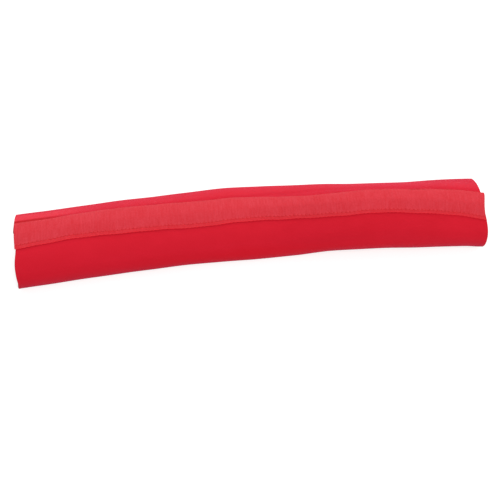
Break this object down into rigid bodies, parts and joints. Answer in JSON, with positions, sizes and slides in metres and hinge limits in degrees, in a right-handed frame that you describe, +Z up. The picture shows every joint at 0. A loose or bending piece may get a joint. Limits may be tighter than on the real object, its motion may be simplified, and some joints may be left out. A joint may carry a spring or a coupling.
{
  "type": "fork protector",
  "caption": "Wrap-round neoprene sleeve that protects a bicycle fork leg, closed along its length by hook and loop tape, lying on its side.",
  "frame": {"origin": "middle of the outline on the ground, below the sleeve", "axes": "+X along the sleeve, +Y away from the side that the picture looks from, +Z up, through the closure"},
  "size_m": [0.379, 0.0766, 0.0421],
  "materials": {
    "neoprene": "knitted jersey on foam, matt",
    "hook_tape": "woven nylon tape, finely ribbed",
    "loop_tape": "brushed loop tape",
    "thread": "twisted polyester thread"
  },
  "bodies": {
    "root": {"sleeve": "neoprene", "hook_tape": "hook_tape", "loop_tape": "loop_tape", "hook_needle_thread": "thread", "hook_bobbin_thread": "thread", "loop_needle_thread": "thread", "loop_bobbin_thread": "thread"}
  },
  "joints": []
}
